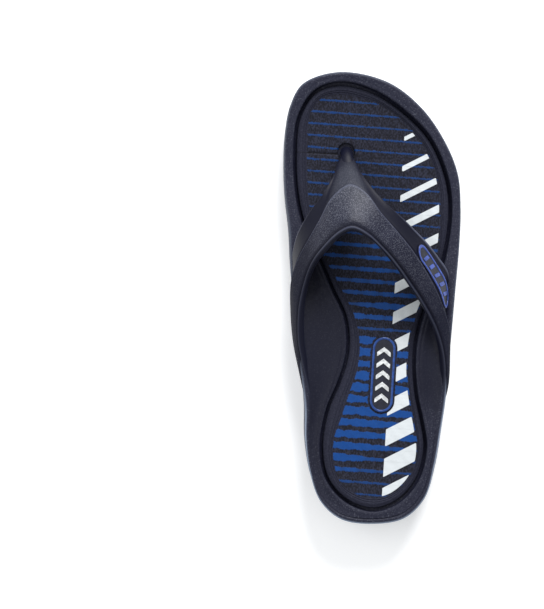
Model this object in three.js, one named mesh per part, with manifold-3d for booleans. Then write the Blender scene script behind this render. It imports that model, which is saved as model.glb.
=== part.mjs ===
// A right-foot flip flop: outsole, midsole with a raised rim, dropped-in insole, and a moulded V strap
// whose toe post runs down through the insole and midsole to a washer above the outsole.
// Millimetres. +Y points to the toe, +X to the outer (lateral) side of the foot, +Z up.
// Each sole layer is one piece, cut here at the ball of the foot so that the toe end can flex up.

import * as THREE from 'three';
import { mergeVertices } from 'three/addons/utils/BufferGeometryUtils.js';
import Module from 'manifold-3d';

const wasm = await Module();
wasm.setup();

// ---- driving dimensions ----
const SOLE_LENGTH = 280;
const SOLE_WIDTH = 110;
const OUTSOLE_THICKNESS = 4.5;
const INSOLE_THICKNESS = 4;
const RIM_ABOVE_INSOLE = 3.6;
const HEEL_HEIGHT = 28.4;
const BALL_HEIGHT = 23;
const TOE_SPRING = 8;
const GROOVE_WIDTH = 2;
const RIM_ROUNDING = 1.2;
const SIDEWALL_BULGE = 1;
const WING_RISE = 3.5;
const HEEL_CUP_RISE = 1.5;
const CLEARANCE = 0.3;
const BADGE_CLEARANCE = 0.4;

const STRAP_RISE = 38;
const STRAP_THICKNESS = 4.5;

const POST_DIAMETER = 7.6;
const POST_FOOT_DIAMETER = 12;
const POST_FOOT_THICKNESS = 2;
const WASHER_DIAMETER = 22;
const WASHER_THICKNESS = 2.5;
const SLIT_WIDTH = 0.8;

const INSOLE_BADGE = { length: 47, width: 14.6, thickness: 1.6, sunk: 0.8, tilt: 3.5 };
const STRAP_BADGE = { length: 41, width: 10.6, thickness: 1.5, sunk: 0.7, along: 0.51, across: 0.6 };

// ---- mesh resolution ----
const RING_POINTS = 96;
const STRAP_SECTIONS = 30;
const BADGE_POINTS = 64;
const POST_SIDES = 20;

// ---- colours ----
const NAVY = 0x2b2d3b;
const INK = 0x302e30;
const BLUE = 0x1c4f9e;
const GREY = 0x8a8f98;

// ---- places and outlines, drawn on a 280 by 110 pattern that stretches with the sole ----
const PATTERN_LENGTH = 280;
const PATTERN_WIDTH = 110;

function onPattern(x, y) {
  return new THREE.Vector3((x * SOLE_WIDTH) / PATTERN_WIDTH, (y * SOLE_LENGTH) / PATTERN_LENGTH, 0);
}

const POST = onPattern(-16.3, 90.5);
const INSOLE_BADGE_CENTRE = onPattern(6.3, -47.6);
const FLEX_Y = onPattern(0, 50).y;
const TOE_SPRING_START = onPattern(0, 55).y;
const WING_CENTRE = onPattern(0, -20).y;
const WING_REACH = onPattern(0, 42).y;

// Each outline runs from the toe tip down the inner side, round the heel and up the outer side.

const TREAD_OUTLINE = [
  [-21, 137], [-42, 131], [-50, 118], [-52.8, 102], [-53.8, 82], [-53, 62], [-51, 40], [-49.5, 20],
  [-46, 3], [-42, -20], [-41, -40], [-41.2, -62], [-41, -85], [-37.5, -105], [-31, -122],
  [-19, -134], [0, -138], [19, -134], [32, -122], [38.5, -105], [41.5, -85], [42.5, -65],
  [42.5, -45], [44, -25], [47.5, -8], [51, 12], [53, 35], [53.5, 58], [50.5, 78], [42.5, 97],
  [28, 117], [8, 131],
];

const RIM_OUTLINE = [
  [-21, 140], [-43.5, 132.8], [-50.8, 120], [-54, 104], [-55, 84], [-54.3, 64], [-51.8, 44],
  [-51, 24], [-50.4, 6], [-48.9, -16], [-45.2, -42], [-42, -68], [-41.8, -88], [-39, -108],
  [-32.5, -126], [-20, -137], [-1, -140], [19.5, -136.5], [32.2, -124], [38, -105], [41.9, -84],
  [45, -64], [46.9, -42], [49.4, -16], [51.5, 6], [54, 32], [55, 55], [53.3, 77], [45, 97.5],
  [30, 118.5], [9, 134],
];

const POCKET_OUTLINE = [
  [-19.7, 134], [-36, 129], [-46.7, 112.4], [-49.3, 87], [-47.6, 62.4], [-42.8, 43], [-33.5, 23.4],
  [-25, 4], [-18, -12], [-16.3, -26.4], [-17.5, -38], [-22, -52], [-29.2, -69.3], [-33, -92],
  [-29.5, -112], [-17, -126.5], [0, -132.3], [16, -127], [28.5, -113], [33.6, -93], [31.5, -76],
  [28.2, -60], [26.8, -42], [28, -26.4], [33.2, -7.4], [41, 11], [46.6, 30], [49.6, 55],
  [47, 76], [37, 99], [22, 115], [2, 128.5],
];

// ---- strap guide lines, from the crown down to the heel end ----
// Each point is x, y and the share of the strap's rise that it stands above the rim.
const STRAP_GUIDES = {
  medial: {
    front: [
      [-16.3, 91, 0.1], [-20.8, 87, 0.17], [-23.5, 79, 0.31], [-27.3, 71.3, 0.44],
      [-31.6, 64, 0.51], [-38.6, 55, 0.46], [-44.6, 45.6, 0.33], [-47.7, 38.6, 0.2], [-50, 26, 0],
      [-50.6, 10, -0.15], [-49.9, -8, -0.24], [-47.8, -28, -0.27], [-44.6, -48, -0.24],
      [-42, -66, -0.14],
    ],
    ridge: [
      [-14.8, 68.7, 0.63], [-25.3, 61.1, 0.655], [-32.5, 48.3, 0.6], [-39.5, 36, 0.5],
      [-46, 24, 0.36], [-49.9, 11, 0.23], [-50.2, -8, 0.1], [-48.6, -27, 0.02], [-45.3, -46, -0.02],
      [-42, -67, -0.06],
    ],
    inner: [
      [-13.6, 41.6, 1], [-20.5, 39.2, 0.97], [-31.8, 28.3, 0.77], [-37.8, 19.5, 0.58], [-41.8, 8, 0.41],
      [-44.8, -8, 0.28], [-45, -26, 0.17], [-42.4, -41, 0.09], [-39.2, -55, 0.03], [-37.4, -68, -0.02],
    ],
  },
  lateral: {
    front: [
      [-16.3, 91, 0.1], [-11.8, 87, 0.17], [-9, 80, 0.31], [-4.6, 73, 0.46], [0.8, 65.8, 0.57],
      [8, 57.9, 0.63], [16.6, 50.5, 0.6], [25, 42.7, 0.5], [33.5, 34.6, 0.33], [41.3, 25.4, 0.155],
      [47.3, 16.7, 0.03], [50.9, 6, -0.08], [50.6, -8, -0.19], [48.7, -24, -0.25], [47, -44, -0.24],
      [45, -68, -0.14],
    ],
    ridge: [
      [-14.8, 68.7, 0.63], [-5.6, 63.8, 0.71], [3.5, 51.5, 0.8], [13, 40.8, 0.74], [23, 29, 0.6],
      [33, 14, 0.44], [41.4, -3, 0.28], [46.4, -19, 0.14], [46.9, -36, 0.06], [46, -54, 0],
      [44.2, -69, -0.06],
    ],
    inner: [
      [-13.6, 41.6, 1], [-4, 37, 0.97], [5, 28.8, 0.84], [13.5, 19, 0.67], [21.5, 8, 0.5],
      [29, -3, 0.38], [36.9, -17.5, 0.25], [41.6, -31.5, 0.16], [43.4, -44, 0.1], [42.9, -56, 0.03],
      [40.9, -70, -0.02],
    ],
  },
};

// ---- heights along the sole ----
const smoothstep = (t) => THREE.MathUtils.smoothstep(t, 0, 1);

function groundHeight(y) {
  const run = SOLE_LENGTH / 2 - TOE_SPRING_START;
  const beyond = Math.max(0, y - TOE_SPRING_START) / run;
  return TOE_SPRING * beyond * beyond;
}

const outsoleTop = (y) => groundHeight(y) + OUTSOLE_THICKNESS;

function rimTop(y) {
  const heelToBall = smoothstep((y + SOLE_LENGTH / 3) / (SOLE_LENGTH * 0.55));
  const heelCup = HEEL_CUP_RISE * smoothstep((-y - SOLE_LENGTH * 0.36) / (SOLE_LENGTH * 0.14));
  return THREE.MathUtils.lerp(HEEL_HEIGHT, BALL_HEIGHT, heelToBall) + heelCup + groundHeight(y);
}

const insoleTop = (y) => rimTop(y) - RIM_ABOVE_INSOLE;

const pocketFloor = (y) => insoleTop(y) - INSOLE_THICKNESS - CLEARANCE;

function wingTop(y) {
  const reach = (y - WING_CENTRE) / WING_REACH;
  return rimTop(y) + WING_RISE * Math.exp(-reach * reach);
}

// ---- outline rings ----
function outlineRing(pattern) {
  const corners = pattern.map(([x, y]) => onPattern(x, y));
  const curve = new THREE.CatmullRomCurve3(corners, true, 'centripetal');
  return curve.getSpacedPoints(RING_POINTS).slice(0, -1);
}

function insetRing(ring, distance) {
  const n = ring.length;
  return ring.map((point, i) => {
    const along = ring[(i + 1) % n].clone().sub(ring[(i + n - 1) % n]).normalize();
    return new THREE.Vector3(point.x - along.y * distance, point.y + along.x * distance, 0);
  });
}

const blendRings = (a, b, share) => a.map((point, i) => point.clone().lerp(b[i], share));

function raiseRing(ring, height) {
  return ring.map((point) => new THREE.Vector3(point.x, point.y, height(point.y)));
}

const TREAD_RING = outlineRing(TREAD_OUTLINE);
const RIM_RING = outlineRing(RIM_OUTLINE);
const POCKET_RING = outlineRing(POCKET_OUTLINE);
const INSOLE_RING = insetRing(POCKET_RING, GROOVE_WIDTH);

// ---- solids ----
function signedVolume(positions, index) {
  let volume = 0;
  const [a, b, c] = [new THREE.Vector3(), new THREE.Vector3(), new THREE.Vector3()];
  for (let i = 0; i < index.length; i += 3) {
    a.fromArray(positions, index[i] * 3);
    b.fromArray(positions, index[i + 1] * 3);
    c.fromArray(positions, index[i + 2] * 3);
    volume += a.dot(b.cross(c)) / 6;
  }
  return volume;
}

// Closes one ring with rungs between its two sides, which meet at its first and its middle point.
function capRing(index, first, count, facingEnd) {
  const half = count / 2;
  const add = (a, b, c) => {
    const corners = facingEnd ? [a, b, c] : [a, c, b];
    index.push(...corners.map((k) => first + (k % count)));
  };
  for (let i = 0; i < half; i++) {
    if (i > 0) add(i, i + 1, count - i);
    if (i < half - 1) add(i + 1, count - i - 1, count - i);
  }
}

// A closed solid whose skin runs through equal rings of points, closed at its first and its last ring.
function solidFromRings(rings) {
  const count = rings[0].length;
  const positions = rings.flat().flatMap((point) => point.toArray());
  let index = [];
  capRing(index, 0, count, false);
  for (let r = 0; r + 1 < rings.length; r++) {
    for (let i = 0; i < count; i++) {
      const [a, b] = [r * count + i, r * count + ((i + 1) % count)];
      index.push(a, b, b + count, a, b + count, a + count);
    }
  }
  capRing(index, (rings.length - 1) * count, count, true);
  if (signedVolume(positions, index) < 0) index = index.reverse();
  const geometry = new THREE.BufferGeometry();
  geometry.setAttribute('position', new THREE.Float32BufferAttribute(positions, 3));
  geometry.setIndex(index);
  return geometry;
}

function toManifold(geometry) {
  const bare = geometry.clone();
  bare.deleteAttribute('normal');
  bare.deleteAttribute('uv');
  const merged = mergeVertices(bare);
  return new wasm.Manifold(new wasm.Mesh({
    numProp: 3,
    vertProperties: new Float32Array(merged.attributes.position.array),
    triVerts: new Uint32Array(merged.index.array),
  }));
}

function toGeometry(manifold) {
  const mesh = manifold.getMesh();
  const geometry = new THREE.BufferGeometry();
  geometry.setAttribute('position', new THREE.BufferAttribute(mesh.vertProperties, 3));
  geometry.setIndex(new THREE.BufferAttribute(mesh.triVerts, 1));
  geometry.computeVertexNormals();
  return geometry;
}

function upright(diameter, x, y, bottom, top) {
  const cylinder = new THREE.CylinderGeometry(diameter / 2, diameter / 2, top - bottom, POST_SIDES);
  cylinder.rotateX(Math.PI / 2);
  cylinder.translate(x, y, (bottom + top) / 2);
  return toManifold(cylinder);
}

// ---- toe post seat inside the sole ----
const FOOT_BOTTOM = outsoleTop(POST.y + WASHER_DIAMETER / 2) + CLEARANCE;
const FOOT_TOP = FOOT_BOTTOM + POST_FOOT_THICKNESS;
const WASHER_BOTTOM = FOOT_TOP + CLEARANCE;
const WASHER_TOP = WASHER_BOTTOM + WASHER_THICKNESS;

function washerPocket() {
  return upright(WASHER_DIAMETER + 2 * CLEARANCE, POST.x, POST.y, 0, WASHER_TOP + CLEARANCE);
}

// ---- strap surface ----
function guideCurve(points) {
  const corners = points.map(([x, y, rise]) => {
    const place = onPattern(x, y);
    return place.setZ(rimTop(place.y) + rise * STRAP_RISE);
  });
  return new THREE.CatmullRomCurve3(corners, false, 'centripetal');
}

function armOf(side, guides) {
  const [front, ridge, inner] = [guides.front, guides.ridge, guides.inner].map(guideCurve);
  return { side, front, ridge, inner };
}

const MEDIAL_ARM = armOf(-1, STRAP_GUIDES.medial);
const LATERAL_ARM = armOf(1, STRAP_GUIDES.lateral);

// along: 0 at the crown, 1 at the heel end.
// across: 0 on the front edge, 1 on the ridge, 2 on the inner edge.
function strapPoint(arm, along, across) {
  const s = THREE.MathUtils.clamp(along, 0, 1);
  const ridge = arm.ridge.getPointAt(s);
  return across < 1
    ? arm.front.getPointAt(s).lerp(ridge, across)
    : ridge.lerp(arm.inner.getPointAt(s), across - 1);
}

function facetNormal(arm, along, across) {
  const step = 0.01;
  const from = Math.min(along, 1 - step);
  const low = across < 1
    ? THREE.MathUtils.clamp(across, 0, 1 - 2 * step)
    : THREE.MathUtils.clamp(across, 1, 2 - step);
  const origin = strapPoint(arm, from, low);
  const alongArm = strapPoint(arm, from + step, low).sub(origin);
  const acrossArm = strapPoint(arm, from, low + step).sub(origin);
  return acrossArm.cross(alongArm).multiplyScalar(arm.side).normalize();
}

function strapNormal(arm, along, across) {
  const distance = Math.abs(across - 1);
  if (distance > 0.01) return facetNormal(arm, along, across);
  return facetNormal(arm, along, 0.9).add(facetNormal(arm, along, 1.1)).normalize();
}

function strapSection(arm, along, grow) {
  const outer = [];
  const inner = [];
  for (const across of [0, 0.5, 1, 1.5, 2]) {
    const point = strapPoint(arm, along, across);
    const normal = strapNormal(arm, along, across);
    if (grow > 0 && (across === 0 || across === 2)) {
      const inward = strapPoint(arm, along, across === 0 ? 0.5 : 1.5);
      point.addScaledVector(point.clone().sub(inward).normalize(), grow);
    }
    outer.push(point.clone().addScaledVector(normal, grow));
    inner.unshift(point.clone().addScaledVector(normal, -STRAP_THICKNESS - grow));
  }
  return [...outer, ...inner];
}

// The V of the strap, from the heel end of one arm over the crown to the heel end of the other.
function strapBlade(grow) {
  const sections = [];
  for (let k = -STRAP_SECTIONS; k <= STRAP_SECTIONS; k++) {
    const arm = k < 0 ? MEDIAL_ARM : LATERAL_ARM;
    sections.push(strapSection(arm, Math.abs(k) / STRAP_SECTIONS, grow));
  }
  if (grow > 0) {
    const beyond = new THREE.Vector3(0, -grow, 0);
    for (const end of [sections[0], sections[sections.length - 1]]) {
      end.forEach((point) => point.add(beyond));
    }
  }
  return toManifold(solidFromRings(sections));
}

// The shaft of the toe post, which leans back into the crown above the rim.
function postShaft(grow) {
  const lean = rimTop(POST.y) + 1;
  const depth = strapNormal(MEDIAL_ARM, 0, 0.35).multiplyScalar(-STRAP_THICKNESS / 2);
  const path = new THREE.CurvePath();
  const bottom = new THREE.Vector3(POST.x, POST.y, FOOT_BOTTOM - grow);
  const top = new THREE.Vector3(POST.x, POST.y, lean);
  path.add(new THREE.LineCurve3(bottom, top));
  path.add(new THREE.LineCurve3(top, strapPoint(MEDIAL_ARM, 0, 0.35).add(depth)));
  const section = new THREE.Shape().absarc(0, 0, POST_DIAMETER / 2 + grow, 0, 2 * Math.PI);
  const options = { steps: 12, extrudePath: path, curveSegments: POST_SIDES / 2 };
  return toManifold(new THREE.ExtrudeGeometry(section, options));
}

const postFoot = () => upright(POST_FOOT_DIAMETER, POST.x, POST.y, FOOT_BOTTOM, FOOT_TOP);

// ---- badges ----
function racetrackRing(length, width) {
  const radius = width / 2;
  const straight = length / 2 - radius;
  const path = new THREE.Path();
  path.absarc(straight, 0, radius, 0, Math.PI / 2);
  path.absarc(-straight, 0, radius, Math.PI / 2, 1.5 * Math.PI);
  path.absarc(straight, 0, radius, 1.5 * Math.PI, 2 * Math.PI);
  return path.getSpacedPoints(BADGE_POINTS).slice(0, -1);
}

function plateOnSurface(badge, grow, place) {
  const ring = racetrackRing(badge.length + 2 * grow, badge.width + 2 * grow);
  const levels = [-badge.sunk - grow, badge.thickness - badge.sunk + (grow > 0 ? 1 : 0)];
  return toManifold(solidFromRings(levels.map((level) => ring.map((p) => place(p.x, p.y, level)))));
}

function onInsole(a, b, height) {
  const spin = THREE.MathUtils.degToRad(90 - INSOLE_BADGE.tilt);
  const x = INSOLE_BADGE_CENTRE.x + a * Math.cos(spin) - b * Math.sin(spin);
  const y = INSOLE_BADGE_CENTRE.y + a * Math.sin(spin) + b * Math.cos(spin);
  return new THREE.Vector3(x, y, insoleTop(y) + height);
}

const LATERAL_RIDGE_LENGTH = LATERAL_ARM.ridge.getLength();

function onStrap(a, b, height) {
  const { along, across } = STRAP_BADGE;
  const s = along + a / LATERAL_RIDGE_LENGTH;
  const facetWidth = strapPoint(LATERAL_ARM, s, 0).distanceTo(strapPoint(LATERAL_ARM, s, 0.99));
  const v = across + b / facetWidth;
  return strapPoint(LATERAL_ARM, s, v).addScaledVector(facetNormal(LATERAL_ARM, s, v), height);
}

// ---- pieces ----
function outsole() {
  return toManifold(solidFromRings([
    raiseRing(TREAD_RING, groundHeight),
    raiseRing(TREAD_RING, outsoleTop),
  ]));
}

function midsole() {
  const base = (y) => outsoleTop(y) + CLEARANCE;
  const middle = (y) => (base(y) + wingTop(y)) / 2;
  const wall = insetRing(blendRings(TREAD_RING, RIM_RING, 0.5), -SIDEWALL_BULGE);
  const wing = blendRings(RIM_RING, POCKET_RING, 0.5);
  const body = solidFromRings([
    raiseRing(TREAD_RING, base),
    raiseRing(wall, middle),
    raiseRing(RIM_RING, (y) => wingTop(y) - RIM_ROUNDING),
    raiseRing(insetRing(RIM_RING, RIM_ROUNDING), wingTop),
    raiseRing(wing, (y) => rimTop(y) + (wingTop(y) - rimTop(y)) / 3),
    raiseRing(POCKET_RING, rimTop),
    raiseRing(POCKET_RING, pocketFloor),
  ]);
  return toManifold(body)
    .subtract(strapBlade(CLEARANCE))
    .subtract(postShaft(CLEARANCE))
    .subtract(washerPocket())
    .subtract(plateOnSurface(STRAP_BADGE, BADGE_CLEARANCE, onStrap));
}

function insole() {
  const sheet = toManifold(solidFromRings([
    raiseRing(INSOLE_RING, (y) => insoleTop(y) - INSOLE_THICKNESS),
    raiseRing(INSOLE_RING, insoleTop),
  ]));
  const slitLength = SOLE_WIDTH / 2 + POST.x;
  const slit = new THREE.BoxGeometry(slitLength, SLIT_WIDTH, 2 * rimTop(POST.y));
  slit.translate(POST.x - slitLength / 2, POST.y, rimTop(POST.y));
  return sheet.subtract(postShaft(CLEARANCE)).subtract(toManifold(slit))
    .subtract(plateOnSurface(INSOLE_BADGE, BADGE_CLEARANCE, onInsole));
}

function strap() {
  return strapBlade(0).add(postShaft(0)).add(postFoot())
    .subtract(plateOnSurface(STRAP_BADGE, BADGE_CLEARANCE, onStrap));
}

function postWasher() {
  return upright(WASHER_DIAMETER, POST.x, POST.y, WASHER_BOTTOM, WASHER_TOP)
    .subtract(postShaft(CLEARANCE));
}

// The part of a solid on the toe side (+1) or on the heel side (-1) of the flex line.
function halfOf(solid, side) {
  const size = SOLE_LENGTH;
  const box = new THREE.BoxGeometry(2 * size, size, 2 * size);
  box.translate(0, FLEX_Y + side * (size / 2 + CLEARANCE / 2), 0);
  return solid.intersect(toManifold(box));
}

function piece(name, solid, color, roughness) {
  const material = new THREE.MeshStandardMaterial({ color, roughness, metalness: 0 });
  const mesh = new THREE.Mesh(toGeometry(solid), material);
  mesh.name = name;
  return mesh;
}

const flipFlop = new THREE.Group();
flipFlop.name = 'flip_flop';

const LAYERS = [
  ['outsole', outsole(), NAVY, 0.8],
  ['midsole', midsole(), NAVY, 0.65],
  ['insole', insole(), INK, 0.9],
];
for (const [name, solid, color, roughness] of LAYERS) {
  flipFlop.add(piece(`${name}_heel`, halfOf(solid, -1), color, roughness));
  flipFlop.add(piece(`${name}_toe`, halfOf(solid, 1), color, roughness));
}
flipFlop.add(piece('strap', strap(), NAVY, 0.6));
flipFlop.add(piece('post_washer', postWasher(), GREY, 0.5));
flipFlop.add(piece('insole_badge', plateOnSurface(INSOLE_BADGE, 0, onInsole), BLUE, 0.4));
flipFlop.add(piece('strap_badge', plateOnSurface(STRAP_BADGE, 0, onStrap), BLUE, 0.4));

// The origin is the middle of the whole outline, on the ground.
const bounds = new THREE.Box3().setFromObject(flipFlop, true);
const middle = bounds.getCenter(new THREE.Vector3());
flipFlop.position.set(-middle.x, -middle.y, -bounds.min.z);

export default flipFlop;
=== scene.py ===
import math

import bpy
import numpy as np
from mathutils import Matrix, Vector


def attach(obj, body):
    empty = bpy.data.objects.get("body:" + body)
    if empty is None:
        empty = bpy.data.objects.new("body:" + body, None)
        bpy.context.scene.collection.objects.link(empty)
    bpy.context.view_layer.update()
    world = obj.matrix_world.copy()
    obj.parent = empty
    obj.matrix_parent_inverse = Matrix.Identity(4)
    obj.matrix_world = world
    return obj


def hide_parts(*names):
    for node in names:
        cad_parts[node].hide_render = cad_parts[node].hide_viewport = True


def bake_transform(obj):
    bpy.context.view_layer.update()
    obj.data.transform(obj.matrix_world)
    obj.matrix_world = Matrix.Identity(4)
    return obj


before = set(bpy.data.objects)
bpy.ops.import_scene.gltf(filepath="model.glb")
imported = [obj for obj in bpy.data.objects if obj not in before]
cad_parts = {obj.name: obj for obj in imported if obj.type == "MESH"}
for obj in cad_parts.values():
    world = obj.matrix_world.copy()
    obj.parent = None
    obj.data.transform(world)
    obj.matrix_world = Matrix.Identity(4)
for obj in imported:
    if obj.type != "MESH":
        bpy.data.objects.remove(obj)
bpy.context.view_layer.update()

# Everything below is worked out in millimetres in the part's own frame: +Y to the toe, +X to the
# outer side of the right foot, +Z up. METRE turns it into Blender's metres when a mesh is made.
METRE = 0.001

# ---- driving dimensions, the same as the CAD model's ----
SOLE_LENGTH = 280
OUTSOLE_THICKNESS = 4.5
INSOLE_THICKNESS = 4
RIM_ABOVE_INSOLE = 3.6
HEEL_HEIGHT = 28.4
BALL_HEIGHT = 23
TOE_SPRING = 8
TOE_SPRING_START = 55
GROOVE_WIDTH = 2
WING_RISE = 3.5
WING_CENTRE = -20
WING_REACH = 42
HEEL_CUP_RISE = 1.5
STRAP_RISE = 38
POST_RADIUS = 3.8
POST = np.array([-16.3, 90.5])

TREAD_OUTLINE = [
    (-21, 137), (-42, 131), (-50, 118), (-52.8, 102), (-53.8, 82), (-53, 62), (-51, 40), (-49.5, 20),
    (-46, 3), (-42, -20), (-41, -40), (-41.2, -62), (-41, -85), (-37.5, -105), (-31, -122),
    (-19, -134), (0, -138), (19, -134), (32, -122), (38.5, -105), (41.5, -85), (42.5, -65),
    (42.5, -45), (44, -25), (47.5, -8), (51, 12), (53, 35), (53.5, 58), (50.5, 78), (42.5, 97),
    (28, 117), (8, 131),
]

RIM_OUTLINE = [
    (-21, 140), (-43.5, 132.8), (-50.8, 120), (-54, 104), (-55, 84), (-54.3, 64), (-51.8, 44),
    (-51, 24), (-50.4, 6), (-48.9, -16), (-45.2, -42), (-42, -68), (-41.8, -88), (-39, -108),
    (-32.5, -126), (-20, -137), (-1, -140), (19.5, -136.5), (32.2, -124), (38, -105), (41.9, -84),
    (45, -64), (46.9, -42), (49.4, -16), (51.5, 6), (54, 32), (55, 55), (53.3, 77), (45, 97.5),
    (30, 118.5), (9, 134),
]

POCKET_OUTLINE = [
    (-19.7, 134), (-36, 129), (-46.7, 112.4), (-49.3, 87), (-47.6, 62.4), (-42.8, 43), (-33.5, 23.4),
    (-25, 4), (-18, -12), (-16.3, -26.4), (-17.5, -38), (-22, -52), (-29.2, -69.3), (-33, -92),
    (-29.5, -112), (-17, -126.5), (0, -132.3), (16, -127), (28.5, -113), (33.6, -93), (31.5, -76),
    (28.2, -60), (26.8, -42), (28, -26.4), (33.2, -7.4), (41, 11), (46.6, 30), (49.6, 55),
    (47, 76), (37, 99), (22, 115), (2, 128.5),
]

# The edge of the insole's printed field, inside its moulded border.
FIELD_OUTLINE = [
    (-19, 126.5), (-31, 124.5), (-37.8, 117), (-40.2, 107), (-40.8, 86), (-39.7, 61), (-35.2, 36),
    (-26.4, 18.7), (-17.4, 2), (-11, -12), (-8, -28), (-9.6, -44), (-14, -57), (-19.2, -73),
    (-24, -87), (-24.4, -101), (-19.7, -115), (-8, -122.8), (3, -124.3), (12, -121.5), (20.8, -114),
    (26.3, -104), (28, -93), (26.6, -82), (23.8, -66), (22, -50), (22.4, -34), (24.6, -20),
    (29.5, -6), (36, 9), (41, 29), (42.6, 50), (41.8, 68), (38.5, 82), (32, 95), (21, 108.5),
    (7, 119), (-8, 124.5),
]

# Strap guide lines, from the crown to the heel end: (x, y, share of the strap rise above the rim).
STRAP_GUIDES = {
    "medial": {
        "front": [
            (-16.3, 91, 0.1), (-20.8, 87, 0.17), (-23.5, 79, 0.31), (-27.3, 71.3, 0.44),
            (-31.6, 64, 0.51), (-38.6, 55, 0.46), (-44.6, 45.6, 0.33), (-47.7, 38.6, 0.2),
            (-50, 26, 0), (-50.6, 10, -0.15), (-49.9, -8, -0.24), (-47.8, -28, -0.27),
            (-44.6, -48, -0.24), (-42, -66, -0.14),
        ],
        "ridge": [
            (-14.8, 68.7, 0.63), (-25.3, 61.1, 0.655), (-32.5, 48.3, 0.6), (-39.5, 36, 0.5),
            (-46, 24, 0.36), (-49.9, 11, 0.23), (-50.2, -8, 0.1), (-48.6, -27, 0.02),
            (-45.3, -46, -0.02), (-42, -67, -0.06),
        ],
        "inner": [
            (-13.6, 41.6, 1), (-20.5, 39.2, 0.97), (-31.8, 28.3, 0.77), (-37.8, 19.5, 0.58),
            (-41.8, 8, 0.41), (-44.8, -8, 0.28), (-45, -26, 0.17), (-42.4, -41, 0.09),
            (-39.2, -55, 0.03), (-37.4, -68, -0.02),
        ],
    },
    "lateral": {
        "front": [
            (-16.3, 91, 0.1), (-11.8, 87, 0.17), (-9, 80, 0.31), (-4.6, 73, 0.46),
            (0.8, 65.8, 0.57), (8, 57.9, 0.63), (16.6, 50.5, 0.6), (25, 42.7, 0.5),
            (33.5, 34.6, 0.33), (41.3, 25.4, 0.155), (47.3, 16.7, 0.03), (50.9, 6, -0.08),
            (50.6, -8, -0.19), (48.7, -24, -0.25), (47, -44, -0.24), (45, -68, -0.14),
        ],
        "ridge": [
            (-14.8, 68.7, 0.63), (-5.6, 63.8, 0.71), (3.5, 51.5, 0.8), (13, 40.8, 0.74),
            (23, 29, 0.6), (33, 14, 0.44), (41.4, -3, 0.28), (46.4, -19, 0.14), (46.9, -36, 0.06),
            (46, -54, 0), (44.2, -69, -0.06),
        ],
        "inner": [
            (-13.6, 41.6, 1), (-4, 37, 0.97), (5, 28.8, 0.84), (13.5, 19, 0.67), (21.5, 8, 0.5),
            (29, -3, 0.38), (36.9, -17.5, 0.25), (41.6, -31.5, 0.16), (43.4, -44, 0.1),
            (42.9, -56, 0.03), (40.9, -70, -0.02),
        ],
    },
}


# ---- heights along the sole ----
def smoothstep(t):
    t = np.clip(t, 0, 1)
    return t * t * (3 - 2 * t)


def ground_height(y):
    beyond = np.maximum(0, y - TOE_SPRING_START) / (SOLE_LENGTH / 2 - TOE_SPRING_START)
    return TOE_SPRING * beyond**2


def outsole_top(y):
    return ground_height(y) + OUTSOLE_THICKNESS


def rim_top(y):
    heel_to_ball = smoothstep((y + SOLE_LENGTH / 3) / (SOLE_LENGTH * 0.55))
    heel_cup = HEEL_CUP_RISE * smoothstep((-y - SOLE_LENGTH * 0.36) / (SOLE_LENGTH * 0.14))
    return HEEL_HEIGHT + (BALL_HEIGHT - HEEL_HEIGHT) * heel_to_ball + heel_cup + ground_height(y)


def insole_top(y):
    return rim_top(y) - RIM_ABOVE_INSOLE


def wing_top(y):
    return rim_top(y) + WING_RISE * np.exp(-(((y - WING_CENTRE) / WING_REACH) ** 2))


# ---- curves ----
def catmull_rom(points, closed, steps=30):
    """Dense points along the centripetal Catmull-Rom curve through the given ones."""
    p = np.asarray(points, float)
    if closed:
        p = np.vstack([p[-1], p, p[:2]])
    else:
        p = np.vstack([2 * p[0] - p[1], p, 2 * p[-1] - p[-2]])
    pieces = []
    for p0, p1, p2, p3 in zip(p, p[1:], p[2:], p[3:]):
        t0 = 0
        t1 = t0 + np.linalg.norm(p1 - p0) ** 0.5
        t2 = t1 + np.linalg.norm(p2 - p1) ** 0.5
        t3 = t2 + np.linalg.norm(p3 - p2) ** 0.5
        t = np.linspace(t1, t2, steps, endpoint=False)[:, None]
        a1 = ((t1 - t) * p0 + (t - t0) * p1) / (t1 - t0)
        a2 = ((t2 - t) * p1 + (t - t1) * p2) / (t2 - t1)
        a3 = ((t3 - t) * p2 + (t - t2) * p3) / (t3 - t2)
        b1 = ((t2 - t) * a1 + (t - t0) * a2) / (t2 - t0)
        b2 = ((t3 - t) * a2 + (t - t1) * a3) / (t3 - t1)
        pieces.append(((t2 - t) * b1 + (t - t1) * b2) / (t2 - t1))
    pieces.append(p[1:2] if closed else p[-2:-1])
    return np.vstack(pieces)


def spaced(points, count, closed=False):
    """count points at equal steps along the curve, without the repeated end of a closed one."""
    curve = catmull_rom(points, closed)
    length = np.concatenate([[0], np.cumsum(np.linalg.norm(np.diff(curve, axis=0), axis=1))])
    at = np.linspace(0, length[-1], count + int(closed))[:count]
    return np.column_stack([np.interp(at, length, column) for column in curve.T])


def inset(ring, distance):
    """A flat ring moved inwards, for a ring that runs from the toe down the inner side."""
    along = np.roll(ring, -1, axis=0) - np.roll(ring, 1, axis=0)
    along /= np.linalg.norm(along, axis=1)[:, None]
    return ring + distance * np.column_stack([-along[:, 1], along[:, 0]])


def lift(ring, height):
    """A flat ring with its heights added: a number for each point, or a function of y."""
    z = height(ring[:, 1]) if callable(height) else height
    return np.column_stack([ring, np.broadcast_to(z, len(ring))])


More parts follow.
